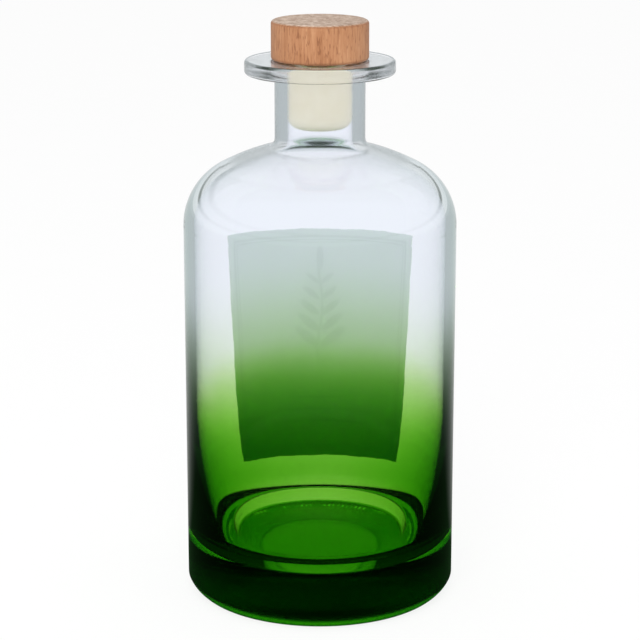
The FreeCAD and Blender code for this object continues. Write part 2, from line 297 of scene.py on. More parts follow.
def above_seam(nodes):
    """0 on the heel and underneath, 1 on the walls."""
    height = nodes.parts(nodes.object_place())[2]
    return nodes.ramped(height, SEAM_HEIGHT - 0.4 * MM, SEAM_HEIGHT + 0.1 * MM)


def lacquer_density(nodes):
    """How much lacquer there is at a point, as both walls of the bottle absorb it."""
    x, y, height = nodes.parts(nodes.object_place())
    cloud = nodes.noise(nodes.stretched((1, 1, 0.5)), 60, detail=3)
    uneven = height + (cloud - 0.5) * (4 * MM)
    mist = nodes.ramped(uneven, MIST_TOP, MIST_FULL, smooth=False) ** 1.6 * MIST_DENSITY
    coat = nodes.ramped(uneven, COAT_TOP, COAT_FULL) * COAT_DENSITY
    base = nodes.ramped(uneven, BASE_TOP, BASE_FULL) * BASE_DENSITY
    away = (x**2 + y**2) ** 0.5
    heel = nodes.ramped(away, FOOT_RADIUS - 1 * MM, FOOT_RADIUS + 0.5 * MM)
    dish = nodes.ramped(away, DISH_SPRAY_RADIUS + 1 * MM, DISH_SPRAY_RADIUS - 1 * MM)
    dish_edge = 1 - nodes.ramped(abs(away - DISH_SPRAY_RADIUS), 0.2 * MM, 0.7 * MM)
    foot = 1 - nodes.ramped(abs(away - DISH_RADIUS - 1.6 * MM), 0.6 * MM, 1 * MM)
    crest = nodes.ramped((x.math("ARCTAN2", y, x) * FOOT_RIDGES).cos(), -0.2, 0.4)
    worn = foot * crest * nodes.ramped(nodes.noise(nodes.object_place(), 260, detail=2), 0.35, 0.6)
    pooled = nodes.ramped(away, DISH_RADIUS + 2.4 * MM, DISH_RADIUS + 3 * MM)
    below = UNDERSIDE_DENSITY + (HEEL_DENSITY - UNDERSIDE_DENSITY) * heel
    below += (DISH_DENSITY - UNDERSIDE_DENSITY) * dish + (WORN_DENSITY - UNDERSIDE_DENSITY) * worn
    below += DISH_EDGE_DENSITY * dish_edge + POOLED_DENSITY * pooled
    return below + (mist + coat + base - below) * above_seam(nodes)


def lacquer_tint(nodes, density):
    return nodes.colour(*(math.exp(-rate) ** density for rate in LACQUER_ABSORBS))


def blown_waviness(nodes, scale):
    """Slight waves in the blown walls. The pressed base, neck and lip are smooth."""
    height = nodes.parts(nodes.object_place())[2]
    above_base = nodes.ramped(height, FLOOR_HEIGHT, TAPER_HEIGHT)
    below_neck = nodes.ramped(height, BOTTLE_HEIGHT - 24 * MM, WALL_TOP)
    return nodes.noise(nodes.stretched((1, 1, 0.4)), scale, detail=1) * (above_base * below_neck)


def lacquered_glass():
    """The outside. Lacquer and glass are deepened at a glancing angle, partly because more of them is in the
    way and partly as painted shade that darkens the bottle's outline.

    Light that the outside throws back into the glass crosses the lacquer too, so that mirror is tinted.
    """
    material, nodes = new_finish("lacquered_glass")
    glancing = nodes.node("ShaderNodeLayerWeight", None, {"Blend": 0.5}, "Facing")
    # Partly painted edge shade: the lacquer deepens at glancing angles more than the longer path through it
    # would make it.
    lacquer = lacquer_tint(nodes, lacquer_density(nodes) * (0.85 + 1.3 * glancing))
    height = nodes.parts(nodes.object_place())[2]
    below_neck = nodes.ramped(height, BOTTLE_HEIGHT - 20 * MM, WALL_TOP)
    # Painted edge shade mixed with the glass's own tint: darker towards the outline, below the neck.
    edge = nodes.blend(nodes.ramped(glancing, 0.45, 0.95) * below_neck, (1, 1, 1, 1), EDGE_TINT_AND_SHADE)
    tint = nodes.blend(1.0, lacquer, edge, "MULTIPLY")
    smear = nodes.noise(nodes.object_place(), 90, detail=4)
    neck = nodes.ramped(height, BOTTLE_HEIGHT - 32 * MM, BOTTLE_HEIGHT - 29 * MM)
    underneath = 1 - above_seam(nodes)
    trapped = nodes.node("ShaderNodeFresnel", None, {"IOR": GLASS_IOR}) > 0.999
    show(nodes, principled(
        nodes,
        Base_Color=tint,
        Metallic=trapped * nodes.ramped(height, MIST_TOP, COAT_TOP),
        Specular_Tint=(0.25, 0.6, 0.2, 1),
        Roughness=nodes.ramped(smear, 0.6, 0.85) * 0.02 + neck * NECK_HAZE + underneath * SATIN,
        IOR=GLASS_IOR,
        Transmission_Weight=1,
        Normal=nodes.bump(blown_waviness(nodes, 45), 0.03, 0.5 * MM),
    ))
    return material


def bare_glass():
    """The inside of the bottle, which carries the slight blue of the glass itself."""
    material, nodes = new_finish("bare_glass")
    streak = nodes.noise(nodes.stretched((1, 1, 0.2)), 80, detail=2)
    tint = nodes.blend(streak, (*GLASS_TINT, 1), (0.89, 0.93, 1, 1))
    show(nodes, principled(
        nodes,
        Base_Color=tint,
        Roughness=0,
        IOR=GLASS_IOR,
        Transmission_Weight=1,
        Normal=nodes.bump(blown_waviness(nodes, 60), 0.03, 0.5 * MM),
    ))
    return material


def beech():
    """Turned beech, grain upright: dark flecks down the side, darker rims (finish gathered on the top edge,
    painted contact shade at the seat), greyer end grain on top.
    """
    material, nodes = new_finish("beech")
    height = nodes.parts(nodes.object_place())[2]
    end_grain = nodes.ramped(height, HEAD_TOP - 0.5 * MM, HEAD_TOP - 0.05 * MM)
    fibre = nodes.noise(nodes.stretched((1, 1, 0.08)), 1900, detail=3, roughness=0.7)
    streak = nodes.noise(nodes.stretched((1, 1, 0.03)), 500, detail=4, roughness=0.65)
    figure = nodes.noise(nodes.stretched((1, 1, 0.3)), 110, detail=2)
    tone = figure * 0.3 + streak * 0.3 + fibre * 0.4
    side = nodes.node(
        "ShaderNodeValToRGB",
        {"stops": [
            (0.36, (0.25, 0.094, 0.035)),
            (0.5, (0.398, 0.18, 0.083)),
            (0.64, (0.505, 0.261, 0.134)),
        ]},
        {"Fac": tone},
    )
    fleck_field = nodes.noise(nodes.stretched((1, 1, 0.2)), 2100, detail=1)
    fleck = nodes.ramped(fleck_field - (figure - 0.5) * 0.25, 0.56, 0.68)
    flecked = nodes.blend(fleck * 0.6, side, (0.20, 0.07, 0.03, 1))
    # Darker rims: at the top, finish gathered on the rounded edge; at the seat, painted contact shade where
    # the head meets the lip.
    rim = nodes.ramped(abs(height - HEAD_MIDDLE), HEAD_MIDDLE_REACH, HEAD_MIDDLE_REACH + 0.6 * MM)
    rim_finish_and_shade = nodes.blend(rim * 0.35, flecked, (0.16, 0.05, 0.015, 1))
    sawn = nodes.stretched((0.3, 1, 1), (0, 0, math.radians(25)))
    saw = nodes.noise(sawn, 2100, detail=3, roughness=0.65)
    top = nodes.node(
        "ShaderNodeValToRGB",
        {"stops": [
            (0.4, (0.23, 0.14, 0.09)),
            (0.5, (0.40, 0.28, 0.205)),
            (0.6, (0.56, 0.44, 0.35)),
        ]},
        {"Fac": saw},
    )
    show(nodes, principled(
        nodes,
        Base_Color=nodes.blend(end_grain, rim_finish_and_shade, top),
        Roughness=0.5 + fibre * 0.2,
        Specular_IOR_Level=0.35,
        Normal=nodes.bump(fibre * 0.5 - fleck, 0.3, 0.1 * MM),
    ))
    return material


def synthetic_cork():
    """Ivory foamed plug, faintly mottled, with a fine skin."""
    material, nodes = new_finish("synthetic_cork")
    place = nodes.object_place()
    mottle = nodes.noise(place, 260, detail=3)
    cell = nodes.node("ShaderNodeTexVoronoi", {"feature": "F1"}, {"Vector": place, "Scale": 2600})
    ivory = nodes.blend(mottle, (0.86, 0.79, 0.58, 1), (0.94, 0.88, 0.70, 1))
    show(nodes, principled(
        nodes,
        Base_Color=ivory,
        Roughness=0.45 + mottle * 0.2,
        Normal=nodes.bump(cell * 0.6 + mottle, 0.12, 0.1 * MM),
    ))
    return material


def hot_melt():
    material, nodes = new_finish("hot_melt")
    haze = nodes.noise(nodes.object_place(), 400, detail=2)
    amber = nodes.blend(haze, (0.62, 0.47, 0.24, 1), (0.72, 0.58, 0.34, 1))
    show(nodes, principled(nodes, Base_Color=amber, Roughness=0.35 + haze * 0.15))
    return material


# Print on the label, in label coordinates: u runs along the paper and v up it, both in millimetres.
BORDER_INSET = 3.2
BORDER_GAP = 1.2
BORDER_LINE = 0.35
PAPER_GLOW = 0.1  # share of light that each face lets through


def label_print(nodes):
    """Ink on the label: a double border, a leafy sprig and three plain rules."""
    place = nodes.node("ShaderNodeAttribute", {"attribute_name": "label_place"}, None, "Vector")
    u, v, edge = nodes.parts(place)

    def stroke(distance, width):
        return 1 - nodes.ramped(abs(distance), width * 0.5, width * 0.5 + 0.12)

    def leaf(x, y, angle, length, width):
        along = (u - x) * math.cos(angle) + (v - y) * math.sin(angle)
        across = (v - y) * math.cos(angle) - (u - x) * math.sin(angle)
        return 1 - nodes.ramped((along / length) ** 2 + (across / width) ** 2, 0.9, 1.1)

    ink = stroke(edge - BORDER_INSET, BORDER_LINE * 2)
    ink = ink.max(stroke(edge - BORDER_INSET - BORDER_GAP, BORDER_LINE))
    for height, half_width in ((13, 17), (17, 12), (21, 7)):
        rule = stroke(v - height, BORDER_LINE * 1.5) * (abs(u) < half_width)
        ink = ink.max(rule)
    stem = stroke(u - (v * 0.21).sin() * 0.8, 0.7) * (abs(v - 48) < 16)
    ink = ink.max(stem)
    for level in range(5):
        y = 38 + level * 5.2
        reach = 6.2 - level * 0.7
        for side in (-1, 1):
            tilt = math.radians(90 - side * 52)
            ink = ink.max(leaf(side * reach * 0.72, y + reach * 0.55, tilt, reach * 0.82, reach * 0.24))
    ink = ink.max(leaf(0, 67, math.pi / 2, 3.6, 1.2))
    return ink


def paper(name, show_through, painted_shade):
    """Label paper. The print shows through by some share, and a painted green shade that follows the
    lacquer's density darkens it by another.
    """
    material, nodes = new_finish(name)
    place = nodes.object_place()
    fibre = nodes.noise(place, 1800, detail=4, roughness=0.65)
    cloud = nodes.noise(place, 120, detail=2)
    blank = nodes.blend(cloud, (0.96, 0.96, 0.92, 1), (0.98, 0.98, 0.95, 1))
    ink = label_print(nodes)
    # Painted shade: the paper is greened and darkened where the lacquer is dense, for the light that the
    # lacquered glass filters on its way to the label.
    with_painted_shade = nodes.blend(1.0, blank, lacquer_tint(nodes, lacquer_density(nodes) * painted_shade), "MULTIPLY")
    printed = nodes.blend(ink * show_through, with_painted_shade, (0.03, 0.045, 0.035, 1))
    sheet = principled(
        nodes,
        Base_Color=printed,
        Roughness=0.75 + fibre * 0.15,
        Specular_IOR_Level=0.3,
        Normal=nodes.bump(fibre, 0.2, 0.05 * MM),
    )
    glow = nodes.node("ShaderNodeBsdfTranslucent", None, {"Color": printed})
    show(nodes, nodes.node("ShaderNodeMixShader", None, {0: PAPER_GLOW, 1: sheet, 2: glow}))
    return material


class Section:
    """Half of a turned section, as points (distance from the axis, height)."""

    ARC_STEP = math.radians(4)
    LINE_STEP = 4 * MM
    SUPPORT = 0.15 * MM  # extra points beside a corner, so that smooth shading stays flat

    def __init__(self, x, z):
        self.points = [(x, z)]

    def line(self, x, z):
        start = self.points[-1]
        length = math.dist(start, (x, z))
        pieces = max(1, math.ceil(length / self.LINE_STEP))
        shares = {i / pieces for i in range(1, pieces + 1)}
        if length > 4 * self.SUPPORT:
            shares |= {self.SUPPORT / length, 1 - self.SUPPORT / length}
        for share in sorted(shares):
            self.points.append(tuple(a + (b - a) * share for a, b in zip(start, (x, z))))
        return self

    def arc(self, x, z, centre):
        """The short way round a centre."""
        start = self.points[-1]
        radius = math.dist(centre, (x, z))
        first = math.atan2(start[1] - centre[1], start[0] - centre[0])
        last = math.atan2(z - centre[1], x - centre[0])
        sweep = (last - first + math.pi) % math.tau - math.pi
        by_angle = math.ceil(abs(sweep) / self.ARC_STEP)
        by_length = math.ceil(abs(sweep) * radius / self.LINE_STEP)
        pieces = max(3, by_angle, by_length)
        for i in range(1, pieces):
            angle = first + sweep * i / pieces
            self.points.append((centre[0] + radius * math.cos(angle), centre[1] + radius * math.sin(angle)))
        self.points.append((x, z))
        return self

    def eased(self, corner, reach, pieces=6):
        """Rounds off the sharp corner at this point over the given reach on either side."""
        at = min(range(len(self.points)), key=lambda i: math.dist(self.points[i], corner))
        before, left = self._walk(at, -1, reach)
        after, right = self._walk(at, 1, reach)
        curve = []
        for i in range(pieces + 1):
            t = i / pieces
            curve.append(tuple(
                (1 - t) ** 2 * a + 2 * t * (1 - t) * b + t**2 * c
                for a, b, c in zip(left, self.points[at], right)
            ))
        self.points[before + 1:after] = curve
        return self

    def _walk(self, at, step, reach):
        """The last point kept, and the place at this reach along the outline from a corner."""
        gone = 0
        while True:
            here, there = self.points[at], self.points[at + step]
            span = math.dist(here, there)
            if gone + span > reach:
                share = (reach - gone) / span
                return at + step, tuple(a + (b - a) * share for a, b in zip(here, there))
            gone += span
            at += step


def towards(start, end, distance):
    """The point at this distance from start, on the way to end."""
    span = math.dist(start, end)
    return tuple(a + (b - a) * distance / span for a, b in zip(start, end))


def glass_outlines():
    """The outside, from under the base to the mouth, and the inside, from the mouth to the floor."""
    chord = (BODY_RADIUS - FOOT_RADIUS, SEAM_HEIGHT)
    span = math.hypot(*chord)
    rise = math.sqrt(HEEL_RADIUS**2 - (span / 2) ** 2)
    heel_centre = (
        (FOOT_RADIUS + BODY_RADIUS) / 2 - rise * chord[1] / span,
        SEAM_HEIGHT / 2 + rise * chord[0] / span,
    )
    shoulder_centre = (BODY_RADIUS - SHOULDER_RADIUS, WALL_TOP)
    lean = math.acos((SHOULDER_RADIUS - SHOULDER_INSET) / SHOULDER_RADIUS)
    crown_centre = (
        shoulder_centre[0] + (SHOULDER_RADIUS - CROWN_RADIUS) * math.cos(lean),
        shoulder_centre[1] + (SHOULDER_RADIUS - CROWN_RADIUS) * math.sin(lean),
    )

    def on_crown(x, reach):
        return crown_centre[1] + math.sqrt(reach**2 - (x - crown_centre[0]) ** 2)

    fillet_x = NECK_RADIUS + NECK_FILLET
    fillet_centre = (fillet_x, on_crown(fillet_x, CROWN_RADIUS + NECK_FILLET))
    flare_x = BORE_RADIUS + FLARE_RADIUS
    flare_centre = (flare_x, on_crown(flare_x, CROWN_RADIUS - WALL + FLARE_RADIUS))
    taper_centre = (BODY_RADIUS - WALL - TAPER_RADIUS, TAPER_HEIGHT)
    corner_height = LEDGE_HEIGHT + FLOOR_CORNER
    corner_reach = math.sqrt((TAPER_RADIUS - FLOOR_CORNER) ** 2 - (corner_height - TAPER_HEIGHT) ** 2)
    corner_centre = (taper_centre[0] + corner_reach, corner_height)
    ledge_centre = (corner_centre[0] - LEDGE_WIDTH, LEDGE_HEIGHT - LEDGE_ROUND)
    well_centre = (ledge_centre[0] - WELL_RUN, FLOOR_HEIGHT + WELL_FILLET)
    across, down = (a - b for a, b in zip(ledge_centre, well_centre))
    slope = math.asin((LEDGE_ROUND + WELL_FILLET) / math.hypot(across, down)) + math.atan2(down, across)
    lean_in = (math.sin(slope), -math.cos(slope))
    lip_root_centre = (NECK_RADIUS + LIP_FILLET, LIP_UNDERSIDE - LIP_FILLET)
    lip_low = LIP_UNDERSIDE + LIP_ROUND
    lip_high = BOTTLE_HEIGHT - LIP_ROUND
    mouth_z = BOTTLE_HEIGHT - MOUTH_ROUND

    outside = Section(0, DISH_DEPTH)
    outside.line(DISH_FLAT_RADIUS, DISH_DEPTH)
    outside.line(DISH_RADIUS, 0)
    outside.line(FOOT_RADIUS, 0)
    outside.arc(BODY_RADIUS, SEAM_HEIGHT, heel_centre)
    outside.line(BODY_RADIUS, WALL_TOP)
    outside.arc(*towards(crown_centre, shoulder_centre, CROWN_RADIUS), shoulder_centre)
    outside.arc(*towards(crown_centre, fillet_centre, CROWN_RADIUS), crown_centre)
    outside.arc(NECK_RADIUS, fillet_centre[1], fillet_centre)
    outside.line(NECK_RADIUS, LIP_UNDERSIDE - LIP_FILLET)
    outside.arc(NECK_RADIUS + LIP_FILLET, LIP_UNDERSIDE, lip_root_centre)
    outside.line(LIP_RADIUS - LIP_ROUND, LIP_UNDERSIDE)
    outside.arc(LIP_RADIUS, lip_low, (LIP_RADIUS - LIP_ROUND, lip_low))
    outside.line(LIP_RADIUS, lip_high)
    outside.arc(LIP_RADIUS - LIP_ROUND, BOTTLE_HEIGHT, (LIP_RADIUS - LIP_ROUND, lip_high))
    outside.line(BORE_RADIUS + MOUTH_ROUND, BOTTLE_HEIGHT)
    outside.arc(BORE_RADIUS, mouth_z, (BORE_RADIUS + MOUTH_ROUND, mouth_z))
    outside.eased((DISH_FLAT_RADIUS, DISH_DEPTH), 0.6 * MM)
    outside.eased((DISH_RADIUS, 0), 0.8 * MM)
    outside.eased((FOOT_RADIUS, 0), 0.8 * MM)
    outside.eased((BODY_RADIUS, SEAM_HEIGHT), 0.35 * MM)

    inside = Section(BORE_RADIUS, mouth_z)
    inside.line(BORE_RADIUS, flare_centre[1])
    inside.arc(*towards(flare_centre, crown_centre, FLARE_RADIUS), flare_centre)
    inside.arc(*towards(crown_centre, shoulder_centre, CROWN_RADIUS - WALL), crown_centre)
    inside.arc(BODY_RADIUS - WALL, WALL_TOP, shoulder_centre)
    inside.line(BODY_RADIUS - WALL, TAPER_HEIGHT)
    inside.arc(*towards(taper_centre, corner_centre, TAPER_RADIUS), taper_centre)
    inside.arc(corner_centre[0], LEDGE_HEIGHT, corner_centre)
    inside.line(ledge_centre[0], LEDGE_HEIGHT)
    inside.arc(*(a - LEDGE_ROUND * b for a, b in zip(ledge_centre, lean_in)), ledge_centre)
    inside.line(*(a + WELL_FILLET * b for a, b in zip(well_centre, lean_in)))
    inside.arc(well_centre[0], FLOOR_HEIGHT, well_centre)
    inside.line(0, FLOOR_HEIGHT)
    return outside.points, inside.points[1:]


def head_outline():
    side_low = HEAD_SEAT + HEAD_SEAT_ROUND
    side_high = HEAD_TOP - HEAD_TOP_ROUND
    section = Section(0, RECESS_TOP)
    section.line(RECESS_RADIUS, RECESS_TOP)
    section.line(RECESS_RADIUS, HEAD_SEAT)
    section.line(HEAD_RADIUS - HEAD_SEAT_ROUND, HEAD_SEAT)
    section.arc(HEAD_RADIUS, side_low, (HEAD_RADIUS - HEAD_SEAT_ROUND, side_low))
    section.line(HEAD_RADIUS, side_high)
    section.arc(HEAD_RADIUS - HEAD_TOP_ROUND, HEAD_TOP, (HEAD_RADIUS - HEAD_TOP_ROUND, side_high))
    section.line(0, HEAD_TOP)
    section.eased((RECESS_RADIUS, RECESS_TOP), 0.2 * MM)
    section.eased((RECESS_RADIUS, HEAD_SEAT), 0.2 * MM)
    return section.points


def plug_outline():
    round_z = PLUG_END + PLUG_ROUND
    section = Section(0, PLUG_END)
    section.line(PLUG_RADIUS - PLUG_ROUND, PLUG_END)
    section.arc(PLUG_RADIUS, round_z, (PLUG_RADIUS - PLUG_ROUND, round_z))
    section.line(PLUG_RADIUS, HEAD_SEAT)
    section.line(SPIGOT_RADIUS, HEAD_SEAT)
    section.line(SPIGOT_RADIUS, SPIGOT_TOP)
    section.line(0, SPIGOT_TOP)
    section.eased((PLUG_RADIUS, HEAD_SEAT), 0.3 * MM)
    section.eased((SPIGOT_RADIUS, HEAD_SEAT), 0.2 * MM)
    section.eased((SPIGOT_RADIUS, SPIGOT_TOP), 0.3 * MM)
    return section.points


def turning_tree():
    """Spins a half section about Z. Ridges run outwards where its ridge attribute asks for them."""
    tree = bpy.data.node_groups.new("turned_on_axis", "GeometryNodeTree")
    for name, kind in (
        ("Section", "NodeSocketGeometry"),
        ("Steps", "NodeSocketInt"),
        ("Ridges", "NodeSocketInt"),
        ("Ridge Depth", "NodeSocketFloat"),
        ("Outer Finish", "NodeSocketMaterial"),
        ("Inner Finish", "NodeSocketMaterial"),
    ):
        tree.interface.new_socket(name, in_out="INPUT", socket_type=kind)
    tree.interface.new_socket("Geometry", in_out="OUTPUT", socket_type="NodeSocketGeometry")

    nodes = Nodes(tree)
    section = nodes.node("NodeGroupInput")
    steps = section.of("Steps")
    count = nodes.node("GeometryNodeAttributeDomainSize", {"component": "MESH"}, {"Geometry": section})
    grid = nodes.node("GeometryNodeMeshGrid", None, {"Vertices X": count, "Vertices Y": steps + 1})
    index = nodes.node("GeometryNodeInputIndex")
    row = (index / (steps + 1)).floor()
    turn = (index - row * (steps + 1)) / steps * math.tau

    def sampled(kind, field):
        settings = {"data_type": kind, "domain": "POINT"}
        inputs = {"Geometry": section, "Value": field, "Index": row}
        return nodes.node("GeometryNodeSampleIndex", settings, inputs)

    def attribute(name):
        return nodes.node("GeometryNodeInputNamedAttribute", {"data_type": "FLOAT"}, {"Name": name})

    across, _, height = nodes.parts(sampled("FLOAT_VECTOR", nodes.node("GeometryNodeInputPosition")))
    wave = 0.5 - 0.5 * (turn * section.of("Ridges")).cos()
    lifted = height + wave * sampled("FLOAT", attribute("ridge")) * section.of("Ridge Depth")
    place = nodes.vector(across * turn.cos(), across * turn.sin(), lifted)
    spun = nodes.node("GeometryNodeSetPosition", None, {"Geometry": grid, "Position": place})
    marked = nodes.node(
        "GeometryNodeStoreNamedAttribute",
        {"data_type": "FLOAT", "domain": "POINT"},
        {"Geometry": spun, "Name": "inside", "Value": sampled("FLOAT", attribute("inside"))},
    )
    closed = nodes.node("GeometryNodeMergeByDistance", None, {"Geometry": marked, "Distance": 0.001 * MM})
    smooth = nodes.node("GeometryNodeSetShadeSmooth", None, {"Geometry": closed})
    real = nodes.node("GeometryNodeRealizeInstances", None, {"Geometry": smooth})
    outer = nodes.node(
        "GeometryNodeSetMaterial",
        None,
        {"Geometry": real, "Material": section.of("Outer Finish")},
    )
    inner = nodes.node(
        "GeometryNodeSetMaterial",
        None,
        {"Geometry": outer, "Selection": attribute("inside") > 0.5, "Material": section.of("Inner Finish")},
    )
    nodes.node("NodeGroupOutput", None, {"Geometry": inner})
    return tree


def face_outwards(mesh):
    """Turns a closed mesh's faces outwards."""
    shape = bmesh.new()
    shape.from_mesh(mesh)
    if shape.calc_volume(signed=True) < 0:
        bmesh.ops.reverse_faces(shape, faces=shape.faces)
    shape.to_mesh(mesh)
    shape.free()


def turned(name, points, steps, finish, inner_finish=None, inner_from=None, ridges=(1, 0), ridged=None):
    """A piece turned about Z from a half section. Points from inner_from on take the inner finish."""
    mesh = bpy.data.meshes.new(name)
    edges = [(i, i + 1) for i in range(len(points) - 1)]
    mesh.from_pydata([(x, 0, z) for x, z in points], edges, [])
    inside = [0 if inner_from is None or i < inner_from else 1 for i in range(len(points))]
    ridge = [ridged(x, z) if ridged else 0 for x, z in points]
    for key, values in (("inside", inside), ("ridge", ridge)):
        mesh.attributes.new(key, "FLOAT", "POINT").data.foreach_set("value", values)
    piece = bpy.data.objects.new(name, mesh)
    bpy.context.scene.collection.objects.link(piece)

    modifier = piece.modifiers.new("turning", "NODES")
    modifier.node_group = TURNING
    settings = {
        "Steps": steps,
        "Ridges": ridges[0],
        "Ridge Depth": float(ridges[1]),
        "Outer Finish": finish,
        "Inner Finish": inner_finish or finish,
    }
    for socket in TURNING.interface.items_tree:
        if socket.name in settings:
            modifier[socket.identifier] = settings[socket.name]
    evaluated = piece.evaluated_get(bpy.context.evaluated_depsgraph_get())
    turned_mesh = bpy.data.meshes.new_from_object(evaluated)
    piece.modifiers.remove(modifier)
    piece.data = turned_mesh
    bpy.data.meshes.remove(mesh)
    turned_mesh.name = name
    face_outwards(turned_mesh)
    return piece


def on_foot(x, z):
    """1 on the standing ring, falling to 0 at its edges."""
    if z > 0.2 * MM:
        return 0
    reach = min(x - DISH_RADIUS, FOOT_RADIUS - x)
    return max(0, min(1, reach / (1 * MM)))


LABEL_COLUMNS = 150
LABEL_ROWS = 180
CUT_WAVES = ((3.1, 0.10), (7.7, 0.07), (17.3, 0.05), (41, 0.06), (67, 0.11), (83, 0.10))  # count, size in mm
CUT_INSET = 0.25 * MM  # keeps the ragged cut within the label's true size


def label_edge(t, seed):
    """How far a cut edge strays outwards, in metres, at a share t along it."""
    stray = 0
    for k, (count, size) in enumerate(CUT_WAVES):
        stray += size * math.sin(count * t * math.tau + seed * (k + 1.7))
    return stray * MM - CUT_INSET


def paper_label(front, back):
    """A thin sheet bent round the far side, narrower at the bottom, with a slightly uneven cut."""
    mesh = bpy.data.meshes.new("paper_label")
    shape = bmesh.new()
    place_layer = shape.verts.layers.float_vector.new("label_place")
    height = LABEL_TOP - LABEL_BOTTOM

    def corner(column, row, radius):
        s = column / LABEL_COLUMNS * 2 - 1
        t = row / LABEL_ROWS
        half = (LABEL_BOTTOM_WIDTH + (LABEL_TOP_WIDTH - LABEL_BOTTOM_WIDTH) * t) / 2
        side_cut = label_edge(t, 1 if s > 0 else 4)
        top_cut = label_edge((s + 1) / 2, 7)
        bottom_cut = label_edge((s + 1) / 2, 11)
        along = s * (half + side_cut * abs(s) ** 8)
        lift = t * height + top_cut * t**8 - bottom_cut * (1 - t) ** 8
        angle = along / LABEL_INSIDE
        vertex = shape.verts.new((radius * math.sin(angle), radius * math.cos(angle), LABEL_BOTTOM + lift))
        edge = min(half - abs(along), lift, height - lift)
        vertex[place_layer] = Vector((-along, lift, edge)) / MM
        return vertex

    def face(radius):
        return [[corner(c, r, radius) for c in range(LABEL_COLUMNS + 1)] for r in range(LABEL_ROWS + 1)]

    inner = face(LABEL_INSIDE)
    outer = face(LABEL_OUTSIDE)
    for r in range(LABEL_ROWS):
        for c in range(LABEL_COLUMNS):
            back_patch = (inner[r][c], inner[r][c + 1], inner[r + 1][c + 1], inner[r + 1][c])
            front_patch = (outer[r][c], outer[r + 1][c], outer[r + 1][c + 1], outer[r][c + 1])
            shape.faces.new(back_patch).material_index = 1
            shape.faces.new(front_patch).material_index = 0
    rim = (
        [(0, c) for c in range(LABEL_COLUMNS)]
        + [(r, LABEL_COLUMNS) for r in range(LABEL_ROWS)]
        + [(LABEL_ROWS, c) for c in range(LABEL_COLUMNS, 0, -1)]
        + [(r, 0) for r in range(LABEL_ROWS, 0, -1)]
    )
    for (r, c), (r2, c2) in zip(rim, rim[1:] + rim[:1]):
        shape.faces.new((inner[r][c], outer[r][c], outer[r2][c2], inner[r2][c2])).material_index = 0
    bmesh.ops.recalc_face_normals(shape, faces=shape.faces)
    shape.to_mesh(mesh)
    shape.free()
    mesh.materials.append(front)
    mesh.materials.append(back)
    mesh.shade_smooth()
    mesh.set_sharp_from_angle(angle=math.radians(40))
    piece = bpy.data.objects.new("paper_label_sheet", mesh)
    bpy.context.scene.collection.objects.link(piece)
    return piece


TURNING = turning_tree()
outside, inside = glass_outlines()
bottle = turned(
    "bottle_glass",
    outside + inside,
    256,
    lacquered_glass(),
    bare_glass(),
    inner_from=len(outside),
    ridges=(FOOT_RIDGES, FOOT_RIDGE_DEPTH),
    ridged=on_foot,
)
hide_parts("glass_bottle")
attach(bottle, "bottle")

head = turned("beech_head", head_outline(), 128, beech())
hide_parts("stopper_head")
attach(head, "stopper")

plug = turned("ivory_plug", plug_outline(), 96, synthetic_cork())
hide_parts("stopper_plug")
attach(plug, "stopper")

# The back of the label carries a painted green shade that follows the lacquer.
label = paper_label(paper("printed_paper", 1, 0), paper("paper_back", 0.05, 0.05))
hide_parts("paper_label")
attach(label, "bottle")

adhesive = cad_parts["stopper_adhesive"]
adhesive.data.materials.clear()
adhesive.data.materials.append(hot_melt())

# Stage: a pale floor that shows white to the camera and straight through glass. Where glass mirrors the
# floor, it shows
# painted colours instead: a painted green-dark shade, dimmest close to the bottle, and a painted white
# reflection behind it.
FLOOR_SIZE = 8.0
FLOOR_DROP = 0.15 * MM
DIM_INNER = 120 * MM  # from the axis: the mirrored floor is darkest within this and palest beyond the next
DIM_OUTER = 430 * MM
DIM_HEIGHTS = (100 * MM, 140 * MM)  # and it pales again for light that left the glass this high up
# Painted shade near the bottle and paler painted floor far off, both seen only where glass mirrors the
# floor.
DIM_NEAR = (0.015, 0.045, 0.015, 1)
DIM_FAR = (0.46, 0.51, 0.53, 1)
MOST_FACES = 4  # faces of glass that a light path may cross and still count as mirrored
BACKDROP_GLOSS = 0.65  # how white the painted reflection of the floor behind the bottle is, seen only on the outside of glass
DARK_REFLECTION_REACH = 130 * MM  # the painted dark reflection shows only to light from within this distance
NEAR_DARK_REFLECTION = {"radius": 100 * MM, "bottom": 12 * MM, "full": 25 * MM, "top": 72 * MM}


def sight_lines(nodes):
    """Shares of light paths: direct, straight through glass, mirrored within glass and mirrored on it."""
    path = nodes.node("ShaderNodeLightPath", None, None, "Is Camera Ray")
    from_camera = path.of("Diffuse Depth") < 0.5
    mirrored = (path.of("Glossy Depth") > 0.5) * (path.of("Transmission Depth") < MOST_FACES + 0.5)
    through = path.of("Is Transmission Ray") * from_camera
    on_glass = path.of("Is Glossy Ray") * path.of("Is Reflection Ray") * from_camera
    return path, through * (1 - mirrored), through * mirrored, on_glass


